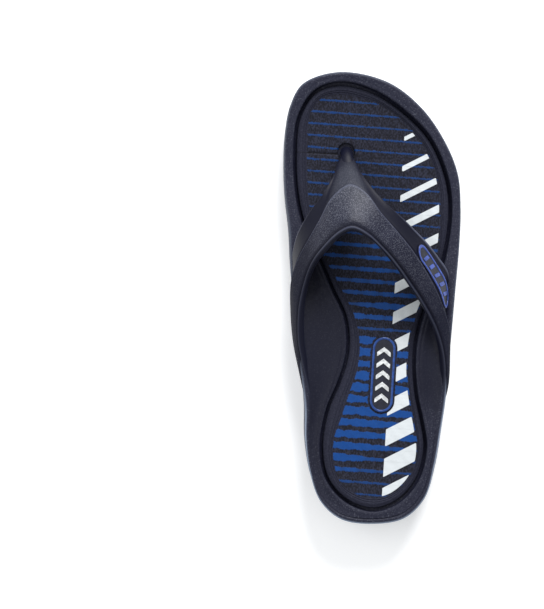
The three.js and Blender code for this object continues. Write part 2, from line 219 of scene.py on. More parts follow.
# ---- mesh building ----
class Skin:
    """Points in millimetres and the faces between them."""

    def __init__(self):
        self.points = np.zeros((0, 3))
        self.faces = []
        self.slots = []

    def add(self, points):
        start = len(self.points)
        self.points = np.vstack([self.points, points])
        return np.arange(start, len(self.points))

    def bridge(self, lower, upper, closed=True, slot=0):
        """Faces between two rows of equal length."""
        if closed:
            lower, upper = np.append(lower, lower[0]), np.append(upper, upper[0])
        quads = np.column_stack([lower[:-1], lower[1:], upper[1:], upper[:-1]])
        self.faces += quads.tolist()
        self.slots += [slot] * len(quads)

    def rows(self, rings, closed=True, slot=0):
        """Adds rings of points and the faces between each and the next. Returns their numbers."""
        numbers = [self.add(ring) for ring in rings]
        for lower, upper in zip(numbers, numbers[1:]):
            self.bridge(lower, upper, closed, slot)
        return numbers

    def fill(self, ring, columns, height=None, up=True, slot=0):
        """Closes a ring with rungs between its two sides, each cut into columns."""
        half = len(ring) // 2
        left, right = ring[1:half], ring[: half : -1]
        share = np.linspace(0, 1, columns + 1)[1:-1]
        a, b = self.points[left][:, None], self.points[right][:, None]
        inner = (a + (b - a) * share[None, :, None]).reshape(-1, 3)
        if height is not None:
            inner[:, 2] = height(inner[:, 0], inner[:, 1])
        grid = self.add(inner).reshape(half - 1, columns - 1)
        grid = np.column_stack([left, grid, right])
        corners = [grid[:-1, :-1], grid[1:, :-1], grid[1:, 1:], grid[:-1, 1:]]
        faces = np.stack(corners, axis=-1).reshape(-1, 4).tolist()
        for k in range(columns):
            faces.append([ring[0], grid[0, k], grid[0, k + 1]])
            faces.append([ring[half], grid[-1, k + 1], grid[-1, k]])
        self.faces += faces if up else [face[::-1] for face in faces]
        self.slots += [slot] * len(faces)
        return grid

    def object(self, name, *materials):
        mesh = bpy.data.meshes.new(name)
        mesh.from_pydata((self.points * METRE).tolist(), [], [list(map(int, f)) for f in self.faces])
        for material in materials:
            mesh.materials.append(material)
        mesh.polygons.foreach_set("material_index", self.slots)
        mesh.polygons.foreach_set("use_smooth", [True] * len(self.faces))
        mesh.update()
        made = bpy.data.objects.new(name, mesh)
        bpy.context.collection.objects.link(made)
        return made


def write_field(piece, name, values):
    """Stores one number for each point, for a material to read."""
    layer = piece.data.attributes.new(name, "FLOAT", "POINT")
    layer.data.foreach_set("value", np.asarray(values, np.float32))


def bend_with_sole(piece):
    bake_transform(piece)
    return piece


# ---- materials ----
class Shader:
    """A new material with one Principled shader, and short ways to add nodes to it."""

    def __init__(self, name, color, roughness, specular=0.3, coat=0):
        self.material = bpy.data.materials.new(name)
        self.material.use_nodes = True
        self.tree = self.material.node_tree
        self.surface = self.tree.nodes["Principled BSDF"]
        self.surface.inputs["Base Color"].default_value = (*color, 1)
        self.surface.inputs["Roughness"].default_value = roughness
        self.surface.inputs["Specular IOR Level"].default_value = specular
        self.surface.inputs["Coat Weight"].default_value = coat
        self.place = self.tree.nodes.new("ShaderNodeTexCoord").outputs["Object"]
        self.normal = None

    def node(self, kind, **settings):
        node = self.tree.nodes.new(kind)
        for key, value in settings.items():
            setattr(node, key, value)
        return node

    def link(self, source, target):
        self.tree.links.new(source, target)

    def set(self, socket, value):
        """Gives a socket a number, a colour or another node's output."""
        if isinstance(value, bpy.types.NodeSocket):
            self.link(value, socket)
        else:
            socket.default_value = (*value, 1) if isinstance(value, tuple) else value

    def noise(self, size, detail=2, stretch=(1, 1, 1), distortion=0):
        """Noise with features about size millimetres across, stretched along the axes."""
        mapping = self.node("ShaderNodeMapping")
        mapping.inputs["Scale"].default_value = [1 / s for s in stretch]
        self.link(self.place, mapping.inputs["Vector"])
        noise = self.node("ShaderNodeTexNoise")
        noise.inputs["Scale"].default_value = 1 / (size * METRE)
        noise.inputs["Detail"].default_value = detail
        noise.inputs["Distortion"].default_value = distortion
        self.link(mapping.outputs["Vector"], noise.inputs["Vector"])
        return noise.outputs["Fac"]

    def field(self, name):
        return self.node("ShaderNodeAttribute", attribute_name=name).outputs["Fac"]

    def math(self, operation, a, b=0, clamp=False):
        node = self.node("ShaderNodeMath", operation=operation, use_clamp=clamp)
        self.set(node.inputs[0], a)
        self.set(node.inputs[1], b)
        return node.outputs[0]

    def ramp(self, value, low, high, start=0, end=1):
        node = self.node("ShaderNodeMapRange", interpolation_type="SMOOTHSTEP")
        for name, number in zip(("From Min", "From Max", "To Min", "To Max"), (low, high, start, end)):
            node.inputs[name].default_value = number
        self.link(value, node.inputs["Value"])
        return node.outputs["Result"]

    def mix(self, share, a, b):
        node = self.node("ShaderNodeMix", data_type="RGBA")
        self.set(node.inputs[0], share)
        self.set(node.inputs[6], a)
        self.set(node.inputs[7], b)
        return node.outputs[2]

    def color(self, value):
        self.set(self.surface.inputs["Base Color"], value)

    def rough(self, value):
        self.set(self.surface.inputs["Roughness"], value)

    def bump(self, height, depth, strength=1.0):
        """Adds relief of depth millimetres to what is there already."""
        bump = self.node("ShaderNodeBump")
        bump.inputs["Strength"].default_value = strength
        bump.inputs["Distance"].default_value = depth * METRE
        self.link(height, bump.inputs["Height"])
        if self.normal:
            self.link(self.normal, bump.inputs["Normal"])
        self.normal = bump.outputs["Normal"]
        self.set(self.surface.inputs["Normal"], self.normal)


NAVY = (0.010, 0.011, 0.024)
NAVY_LIGHT = (0.020, 0.021, 0.038)
NAVY_DARK = (0.003, 0.0035, 0.012)
SPARKLE = (0.11, 0.115, 0.145)
# Painted highlight: the strap's neck at the crown is painted lighter, for the light on its front-facing
# facets.
NECK_HIGHLIGHT_GREY = (0.022, 0.024, 0.036)
# Painted highlight: thin lines on the strap's ridge and lip crests, and a painted reflection along the
# arms' front edges.
CREST_HIGHLIGHT_GREY = (0.09, 0.10, 0.15)
# Painted highlight: the tops of the tread's ribs and studs, lighter than the grooves.
TREAD_HIGHLIGHT_GREY = (0.05, 0.056, 0.088)
# The side wall is painted lighter than the top: partly its own tone, partly a painted reflection of the
# bright floor at glancing angles.
WALL_GREY = (0.05, 0.057, 0.085)
WALL_GREY_LIGHT = (0.065, 0.074, 0.108)
# Painted highlight: the pale band along the footbed's rounded outer edge.
EDGE_HIGHLIGHT_GREY = (0.24, 0.29, 0.39)
INK = (0.004, 0.004, 0.009)
INK_LIGHT = (0.020, 0.022, 0.040)
PRINT_BLUE = (0.001, 0.046, 0.21)
PRINT_BLUE_DARK = (0.002, 0.030, 0.13)
PRINT_WHITE = (0.60, 0.63, 0.65)


def foam_material():
    """Moulded foam: a pebble grain, a cloudy tone and lighter specks, with painted shade in the wings'
    cups and down the pocket walls, a side wall painted lighter (partly its own tone, partly a painted
    reflection) and a painted highlight on the outer edge.
    """
    s = Shader("midsole_foam", NAVY, 0.55, specular=0.2)
    tone = s.mix(s.ramp(s.noise(26, 3), 0.35, 0.7, 0, 0.5), NAVY, NAVY_LIGHT)
    mottled = s.mix(s.ramp(s.noise(1.3, 3), 0.4, 0.7, 0, 0.8), tone, NAVY_LIGHT)
    speckled = s.mix(s.ramp(s.noise(0.7, 1), 0.57, 0.74, 0, 0.5), mottled, SPARKLE)
    # Painted shade: the wings' cups and the pocket walls are painted darker.
    shaded = s.mix(s.ramp(s.field("cup"), 0, 1, 0, 0.8), speckled, NAVY_DARK)
    # Side wall colour: partly its own lighter tone, partly a painted reflection.
    wall = s.mix(s.ramp(s.noise(16, 2), 0.3, 0.75), WALL_GREY, WALL_GREY_LIGHT)
    walled = s.mix(s.field("wall"), shaded, wall)
    # Painted highlight on the outer edge.
    s.color(s.mix(s.field("edge"), walled, EDGE_HIGHLIGHT_GREY))
    s.rough(s.ramp(s.noise(3, 3), 0.3, 0.7, 0.48, 0.63))
    s.bump(s.noise(1.05, 4), 0.09)
    s.bump(s.noise(0.35, 2), 0.06)
    return s.material


def strap_material():
    """Smooth moulded rubber, with sparkling grain on the raised panel, painted highlights on the neck at
    the crown and on the ridge and lip crests, and a painted reflection along the arms' front edges.
    """
    s = Shader("strap_rubber", NAVY, 0.42, specular=0.16)
    panel, crest_highlight, neck_highlight = s.field("panel"), s.field("crest_highlight"), s.field("neck_highlight")
    grain = s.noise(0.5, 2)
    # The specks follow the panel's grain, and near the crown they also follow the neck's painted
    # highlight, as painted glints.
    amount = s.math("ADD", s.math("MULTIPLY", panel, 0.75), s.math("MULTIPLY", neck_highlight, 0.4), clamp=True)
    specks = s.math("MULTIPLY", s.ramp(grain, 0.5, 0.66), amount)
    tone = s.mix(s.ramp(s.noise(18, 2), 0.35, 0.7), NAVY, NAVY_LIGHT)
    band = s.mix(panel, NAVY_DARK, tone)
    # Painted highlight: the neck at the crown is painted lighter.
    light = s.mix(neck_highlight, band, NECK_HIGHLIGHT_GREY)
    # Painted highlight on the ridge and lip crests, and a painted reflection on the arms' front edges.
    wear_and_highlight = s.mix(s.math("MULTIPLY", crest_highlight, 0.5, clamp=True), light, CREST_HIGHLIGHT_GREY)
    s.color(s.mix(specks, wear_and_highlight, SPARKLE))
    s.rough(s.ramp(panel, 0, 1, 0.48, 0.42))
    s.bump(s.math("MULTIPLY", grain, s.ramp(panel, 0, 1, 0.35, 1)), 0.14)
    s.bump(s.noise(2.5, 3), 0.06)
    return s.material


def insole_material():
    """Printed foam: the stripes and slashes are drawn from the distances stored in the mesh."""
    s = Shader("insole_print", INK, 0.72, specular=0.25)
    inside = s.field("inside")
    field = s.ramp(inside, -0.15, 0.15)
    ground = s.mix(s.ramp(s.noise(0.8, 4, stretch=(1, 1.8, 1)), 0.4, 0.68), INK, INK_LIGHT)
    border = s.mix(s.ramp(s.noise(0.8, 2), 0.4, 0.7), NAVY, NAVY_LIGHT)
    color = s.mix(field, border, ground)
    fray = s.ramp(s.noise(0.7, 4), 0.25, 0.75, -0.38, 0.38)
    wear_and_highlight = s.ramp(s.noise(1.6, 4), 0.3, 0.6, 0.75, 1)
    blue_tone = s.mix(s.math("MULTIPLY", wear_and_highlight, s.field("bold")), PRINT_BLUE_DARK, PRINT_BLUE)
    blue = s.ramp(s.math("ADD", s.field("blue"), fray), -0.1, 0.12)
    color = s.mix(s.math("MULTIPLY", blue, field), color, blue_tone)
    white = s.ramp(s.field("white"), -0.06, 0.06)
    dirt = s.ramp(s.noise(7, 4), 0.3, 0.75, 0, 0.16)
    white_tone = s.mix(dirt, PRINT_WHITE, (0.5, 0.53, 0.55))
    color = s.mix(white, color, white_tone)
    # Painted shade: the cut for the post is painted as a near-black line.
    slit = s.ramp(s.field("slit"), 0.15, 0.45)
    s.color(s.mix(slit, (0.001, 0.001, 0.002), color))
    s.rough(s.ramp(blue, 0, 1, 0.78, 0.5))
    s.bump(s.noise(0.6, 2, stretch=(1, 2.2, 1)), 0.16)
    s.bump(s.noise(3.4, 3, stretch=(0.7, 2.4, 1)), 0.2)
    s.bump(s.math("ADD", blue, white), 0.05)
    return s.material


def tread_material():
    """Outsole rubber: the tops of the ribs and studs are a little lighter and smoother, a painted
    highlight, and the grooves darker, a painted shade.
    """
    s = Shader("outsole_rubber", NAVY, 0.5, specular=0.35)
    raised = s.ramp(s.field("raised"), 0.45, 1)
    tone = s.mix(s.ramp(s.noise(14, 3), 0.3, 0.75), NAVY_DARK, NAVY)
    patches = s.mix(s.ramp(s.noise(24, 2), 0.4, 0.65), NAVY_LIGHT, TREAD_HIGHLIGHT_GREY)
    highlit_tops = s.mix(s.ramp(s.noise(1.2, 3), 0.3, 0.7), NAVY, patches)
    # Painted highlight on the raised ribs and stud tops, and painted shade in the grooves.
    s.color(s.mix(raised, tone, highlit_tops))
    s.rough(s.ramp(s.noise(5, 3), 0.3, 0.7, 0.42, 0.58))
    s.bump(s.noise(0.5, 2), 0.04)
    return s.material


def badge_material(name, color, roughness, coat):
    s = Shader(name, color, roughness, specular=0.4, coat=coat)
    darker = tuple(0.6 * c for c in color)
    s.color(s.mix(s.ramp(s.noise(2.2, 3), 0.35, 0.7), darker, color))
    s.bump(s.noise(0.6, 2), 0.02)
    return s.material


def washer_material():
    s = Shader("washer_plastic", (0.2, 0.21, 0.23), 0.45, specular=0.4)
    s.color(s.mix(s.noise(3, 3), (0.14, 0.15, 0.165), (0.24, 0.25, 0.27)))
    s.bump(s.noise(0.8, 2), 0.03)
    return s.material


# ---- the footbed body: sidewall, rim, wings and the pocket that the insole drops into ----
RING_POINTS = 720
WALL_ROWS = 22
EDGE_STEPS = (0, 0.08, 0.25, 0.5, 0.85, 1.3, 1.75, 2.2, 2.6, 3)
RIM_ROUNDING = 2.2
POCKET_ROUNDING = 0.9
SIDEWALL_BULGE = 1
CUP_DEPTH = 1.6
POCKET_DEPTH = RIM_ABOVE_INSOLE + 2.4


def bell(distance, width):
    return np.exp(-((distance / width) ** 2))


def edge_drop(distance, radius):
    """How far a rounded edge lies below its top, at a distance in from the edge."""
    share = 1 - np.clip(distance / radius, 0, 1)
    return radius * (1 - np.sqrt(1 - share**2))


def painted_edge_highlight(from_edge, y):
    """How strong the painted highlight on the outer edge is: most round the heel, a little at the toe."""
    return (0.15 + 0.75 * smoothstep((-y - 35) / 50)) * smoothstep((1.5 - from_edge) / 1.1)


def rim_surface(share, outer, inner):
    """The rim's top at a share of the way in from its edge, how much painted shade it takes in a cup, and
    how strong the painted highlight on its edge is.
    """
    ring = outer + (inner - outer) * share[:, None]
    y = ring[:, 1]
    width = np.linalg.norm(inner - outer, axis=1)
    from_edge, from_pocket = share * width, (1 - share) * width
    cup = smoothstep((width - 9) / 12)
    heel = smoothstep((-y - 62) / 30)
    z = rim_top(y) + (wing_top(y) - rim_top(y)) * (1 - share) ** 1.6
    z -= cup * CUP_DEPTH * np.sin(np.pi * np.clip((from_edge - 3) / np.maximum(width - 6, 1), 0, 1))
    z -= 0.45 * np.maximum(cup, 0.2) * bell(from_pocket - 2.6, 0.5)
    z -= heel * (0.55 * bell(from_edge - 3.3, 0.4) - 0.25 * bell(from_pocket - 2.2, 0.8))
    z -= edge_drop(from_edge, RIM_ROUNDING) + edge_drop(from_pocket, POCKET_ROUNDING)
    shade = cup * smoothstep((from_edge - 1.6) / 3) * smoothstep((from_pocket + 1) / 3)
    return np.column_stack([ring, z]), shade, painted_edge_highlight(from_edge, y)


def across_shares(outer, inner, count):
    """Rows of shares across a band: fixed steps by both edges, and even ones between."""
    width = np.linalg.norm(inner - outer, axis=1)
    scale = np.minimum(1, width / (2.3 * EDGE_STEPS[-1]))
    from_edges = [step * scale / width for step in EDGE_STEPS]
    middle = np.linspace(0, 1, count + 2)[1:-1]
    first, last = from_edges[-1], 1 - from_edges[-1]
    between = [first + (last - first) * share for share in middle]
    return [*from_edges, *between, *[1 - share for share in reversed(from_edges)]]


def footbed_body(material):
    tread = spaced(TREAD_OUTLINE, RING_POINTS, closed=True)
    rim = spaced(RIM_OUTLINE, RING_POINTS, closed=True)
    pocket = spaced(POCKET_OUTLINE, RING_POINTS, closed=True)
    base = outsole_top(tread[:, 1]) - 0.3
    shoulder = wing_top(rim[:, 1]) - RIM_ROUNDING

    rings, cup_shades, edge_highlights = [], [], []
    for share in np.linspace(0, 1, WALL_ROWS):
        bulge = SIDEWALL_BULGE * np.sin(np.pi * share)
        seam = 0.5 * bell(share - 0.04, 0.03) + 0.35 * bell(share - 0.8, 0.035)
        wall = inset(tread + (rim - tread) * share, seam - bulge)
        rings.append(lift(wall, base + (shoulder - base) * share))
        cup_shades.append(np.zeros(RING_POINTS))
        # Painted highlight on the side wall's top rows, where it turns into the rim's edge.
        edge_highlights.append(painted_edge_highlight(0, rim[:, 1]) * smoothstep((share - 0.88) / 0.1))

    for share in across_shares(rim, pocket, 16):
        ring, cup, edge = rim_surface(share, rim, pocket)
        rings.append(ring)
        cup_shades.append(cup)
        edge_highlights.append(edge)
    # Painted shade: the pocket walls round the insole take the full cup shade.
    for depth in (1.4, 2.4, POCKET_DEPTH):
        rings.append(lift(pocket, rim_top(pocket[:, 1]) - depth))
        cup_shades.append(np.ones(RING_POINTS))
        edge_highlights.append(np.zeros(RING_POINTS))

    skin = Skin()
    numbers = skin.rows(rings)
    skin.fill(numbers[0], 12, up=False)
    skin.fill(numbers[-1], 12)
    piece = skin.object("footbed_body", material)
    walls = [np.full(RING_POINTS, float(k < WALL_ROWS - 2)) for k in range(len(rings))]
    for name, values in (("cup", cup_shades), ("edge", edge_highlights), ("wall", walls)):
        floors = np.zeros(len(skin.points) - len(rings) * RING_POINTS)
        write_field(piece, name, np.append(np.concatenate(values), floors))
    return piece


# ---- the insole ----
INSOLE_RINGS = 900
FIELD_COLUMNS = 134
FIELD_SUNK = 0.35
BORDER_RISE = 0.5

STRIPE_TOP = 121
STRIPE_PITCH = 7.37
STRIPE_SLOPE = -0.075
SLASH_TOP = 100.4
SLASH_PITCH = 18.2
SLASH_SLOPE = 0.5
SLASH_COUNT = 13
SLASH_LEFT = 6
SLASH_LEFT_AT = -118.8
SLASH_LEAN = 0.0635
SLASH_THICKNESS = 2.7
SLASH_GROWTH = 0.76
BADGE_GAP = 1

INSOLE_BADGE = {"x": 6.3, "y": -47.6, "length": 47, "width": 14.6, "tilt": 3.5, "rise": 0.8}

# The printed field's two sides, as places along y and x there, between which a stripe tapers.
FIELD_INNER_SIDE = ([-125, -87, -28, 2, 36, 86, 126], [-10, -24, -8, -17, -35, -41, -20])
FIELD_OUTER_SIDE = ([-125, -93, -34, 9, 50, 95, 126], [10, 28, 22, 36, 42.6, 32, -8])

# Each blue stripe from the toe: thickness at its inner end, middle and outer end.
STRIPES = (
    [(1.1, 1, 1)] * 5 + [(1.2, 1.2, 1)] * 7 + [(2, 2.4, 1.5)] * 2 + [(2.2, 2.5, 1.8)] * 2
    + [(2.2, 2.8, 2), (1.2, 4.4, 1.2), (3.6, 2.8, 2), (1.7, 1.6, 1.5), (4.8, 4.4, 1.2)]
    + [(5.2, 4.6, 4.4), (4.4, 2.4, 2.2), (5.3, 5.2, 4), (5.4, 5.2, 4.8), (4.9, 4, 3.6)]
    + [(5.6, 5.4, 4.2), (4.8, 4.4, 3.6), (5.2, 3.6, 3.9), (4.9, 3.6, 1.2), (4.6, 2, 1.2)]
    + [(2.5, 1.8, 1.2), (1.5, 1.3, 0.9), (0.9, 0.9, 0.9)]
)


def distance_inside(points, outline):
    """Distance of flat points from a closed outline, above zero inside it."""
    a, b = outline, np.roll(outline, -1, axis=0)
    edge = b - a
    length2 = (edge**2).sum(1)
    result = np.empty(len(points))
    for start in range(0, len(points), 4000):
        p = points[start : start + 4000, None]
        t = np.clip(((p - a) * edge).sum(2) / length2, 0, 1)
        off = p - (a + t[..., None] * edge)
        nearest = np.sqrt((off**2).sum(2).min(1))
        crosses = (a[:, 1] > p[..., 1]) != (b[:, 1] > p[..., 1])
        rise = np.where(edge[:, 1] == 0, 1, edge[:, 1])
        cut = a[:, 0] + (p[..., 1] - a[:, 1]) / rise * edge[:, 0]
        odd = (crosses & (p[..., 0] < cut)).sum(1) % 2
        result[start : start + 4000] = np.where(odd == 1, nearest, -nearest)
    return result


def brush_wobble(x, k, size):
    """A smooth, repeatable unevenness along stripe k."""
    wave = np.sin(x * 0.55 + 2.1 * k) + 0.7 * np.sin(x * 1.13 + 4.7 * k) + 0.5 * np.sin(x * 0.21 + k)
    return size * wave / 2.2


def badge_distance(x, y, badge):
    """Distance outside the badge's round-ended outline."""
    turn = math.radians(90 - badge["tilt"])
    dx, dy = x - badge["x"], y - badge["y"]
    along = dx * math.cos(turn) + dy * math.sin(turn)
    off = -dx * math.sin(turn) + dy * math.cos(turn)
    straight = (badge["length"] - badge["width"]) / 2
    return np.hypot(np.maximum(np.abs(along) - straight, 0), off) - badge["width"] / 2


def blue_distance(x, y, inside):
    """How deep each point lies in the nearest blue stripe, and how bold that stripe is."""
    middle = STRIPE_TOP + STRIPE_SLOPE * (x + 1.5)
    k = np.clip(np.round((middle - y) / STRIPE_PITCH), 0, len(STRIPES) - 1).astype(int)
    widths = np.array(STRIPES)[k]
    left, right = np.interp(y, *FIELD_INNER_SIDE), np.interp(y, *FIELD_OUTER_SIDE)
    share = np.clip((x - left) / (right - left), 0, 1)
    first, second, third = widths.T
    width = np.where(
        share < 0.5, first + (second - first) * 2 * share, second + (third - second) * (2 * share - 1)
    )
    width = width + brush_wobble(x, k, 0.1 + 0.22 * width)
    centre = middle - k * STRIPE_PITCH
    return np.minimum(width / 2 - np.abs(y - centre), inside - 0.1), smoothstep((width - 1.2) / 2)


def white_distance(x, y, inside):
    """How deep each point lies in a white slash, below zero outside them."""
    left = SLASH_LEFT + SLASH_LEAN * (y - SLASH_LEFT_AT)
    best = np.full(len(x), -10.0)
    for k in range(SLASH_COUNT):
        start_y = SLASH_TOP - SLASH_PITCH * k
        start_x = SLASH_LEFT + SLASH_LEAN * (start_y - SLASH_LEFT_AT)
        top = start_y + SLASH_SLOPE * (x - start_x)
        thick = SLASH_THICKNESS + SLASH_GROWTH * k
        band = np.minimum(top - y, y - (top - thick)) / math.hypot(1, SLASH_SLOPE)
        best = np.maximum(best, np.minimum(band, x - left))
    return np.minimum(best, inside - 0.9)


def insole_sheet(material):
    edge = inset(spaced(POCKET_OUTLINE, INSOLE_RINGS, closed=True), GROOVE_WIDTH)
    field = spaced(FIELD_OUTLINE, INSOLE_RINGS, closed=True)
    top = insole_top(edge[:, 1])
    rings = [lift(edge, top - INSOLE_THICKNESS), lift(edge, top - 1)]
    for turn in np.radians([25, 50, 75, 90]):
        rounded = inset(edge, 1 - math.cos(turn))
        rings.append(lift(rounded, top - 1 + math.sin(turn)))
    start = inset(edge, 1)
    for share in np.linspace(0.04, 1, 25):
        ring = start + (field - start) * share
        crown = BORDER_RISE * math.sin(math.pi * min(share / 0.75, 1))
        lines = 0.5 * bell(share - 0.52, 0.04) + 0.5 * bell(share - 0.8, 0.04)
        step = FIELD_SUNK * smoothstep((share - 0.86) / 0.12)
        rings.append(lift(ring, insole_top(ring[:, 1]) + crown - lines - step))

    skin = Skin()
    numbers = skin.rows(rings)
    skin.fill(numbers[0], 10, up=False)
    skin.fill(numbers[-1], FIELD_COLUMNS, height=insole_field_height)
    piece = skin.object("insole_sheet", material)

    x, y = skin.points[:, 0], skin.points[:, 1]
    inside = distance_inside(skin.points[:, :2], field)
    clear_of_badge = badge_distance(x, y, INSOLE_BADGE) - BADGE_GAP
    blue, bold = blue_distance(x, y, inside)
    write_field(piece, "inside", inside)
    write_field(piece, "blue", np.minimum(blue, clear_of_badge))
    write_field(piece, "bold", bold)
    write_field(piece, "white", np.minimum(white_distance(x, y, inside), clear_of_badge))
    write_field(piece, "slit", slit_distance(x, y))
    return piece


def slit_distance(x, y):
    """Distance from the cut that runs from the inner edge to the post."""
    line = POST[1] - 1.1 - 0.05 * (x - POST[0])
    return np.hypot(y - line, np.maximum(0, x - POST[0]))


def insole_field_height(x, y):
    hole = smoothstep((POST_RADIUS + 1.7 - np.hypot(x - POST[0], y - POST[1] - 0.5)) / 0.8)
    cut = 0.8 * bell(slit_distance(x, y), 0.4)
    ripple = 0.1 * np.sin(0.9 * x + 0.4 * y) * np.sin(0.35 * y - 0.2 * x)
    return insole_top(y) - FIELD_SUNK + ripple - 3.7 * hole - cut


# ---- the strap ----
ARM_SECTIONS = 120
STRAP_DEPTH = 4.2
LIP_WIDTH = 2.6
PANEL_RISE = 0.7
FRONT_ROUNDING = 1.5
# How far from the crown the grain fades, on the inner and on the outer arm.
GRAIN_REACH = (34, 78)
POST_BOTTOM = 7
POST_TOP_RADIUS = 1.7
POST_STEPS = 15
# The arms' roots lean in below the rim, so that they stay inside the side wall.
ROOT_INSET = 1.6
ROOT_DEPTH = 4
ROOT_SLOPE = 0.42


# The beaded inner lip: distance in from the inner edge, and height above the panel's plane.
LIP_SECTION = [
    (LIP_WIDTH + 0.5, 0.35), (LIP_WIDTH + 0.1, -0.2), (LIP_WIDTH - 0.25, -0.1), (LIP_WIDTH - 0.6, 0.6),
    (LIP_WIDTH - 1.1, 1.05), (1, 1.1), (0.5, 0.8), (0.12, 0.2), (0, -0.7), (0, -2), (0.2, -3), (0.8, -3.6),
]


def guide_line(which):
    """One guide of both arms as an even row of points, from the inner heel end over the crown."""
    medial, lateral = STRAP_GUIDES["medial"][which], STRAP_GUIDES["lateral"][which]
    corners = np.array(medial[::-1] + lateral[1:], float)
    depth = np.maximum(0, -corners[:, 2] * STRAP_RISE)
    sunk = ROOT_INSET * smoothstep(depth / ROOT_DEPTH) + ROOT_SLOPE * depth
    corners[:, 0] -= np.sign(corners[:, 0]) * sunk
    corners[:, 2] = rim_top(corners[:, 1]) + corners[:, 2] * STRAP_RISE
    curve = catmull_rom(corners, closed=False)
    crown = np.argmin(np.linalg.norm(curve - corners[len(medial) - 1], axis=1))
    halves = []
    for half in (curve[: crown + 1][::-1], curve[crown:]):
        length = np.concatenate([[0], np.cumsum(np.linalg.norm(np.diff(half, axis=0), axis=1))])
        at = np.linspace(0, length[-1], ARM_SECTIONS + 1)
        halves.append(np.column_stack([np.interp(at, length, column) for column in half.T]))
    return np.vstack([halves[0][:0:-1], halves[1]])


def unit(vectors):
    return vectors / np.maximum(np.linalg.norm(vectors, axis=-1, keepdims=True), 1e-9)


def smooth_rows(rows, rounds):
    for _ in range(rounds):
        rows[1:-1] = (rows[:-2] + 2 * rows[1:-1] + rows[2:]) / 4
    return rows


def strap_lines():
    front, ridge, inner = guide_line("front"), guide_line("ridge"), guide_line("inner")
    along = unit(np.gradient(ridge, axis=0))
    front_normal = unit(smooth_rows(unit(np.cross(ridge - front, along)), 12))
    inner_normal = unit(smooth_rows(unit(np.cross(inner - ridge, along)), 12))
    return front, ridge, inner, front_normal, inner_normal


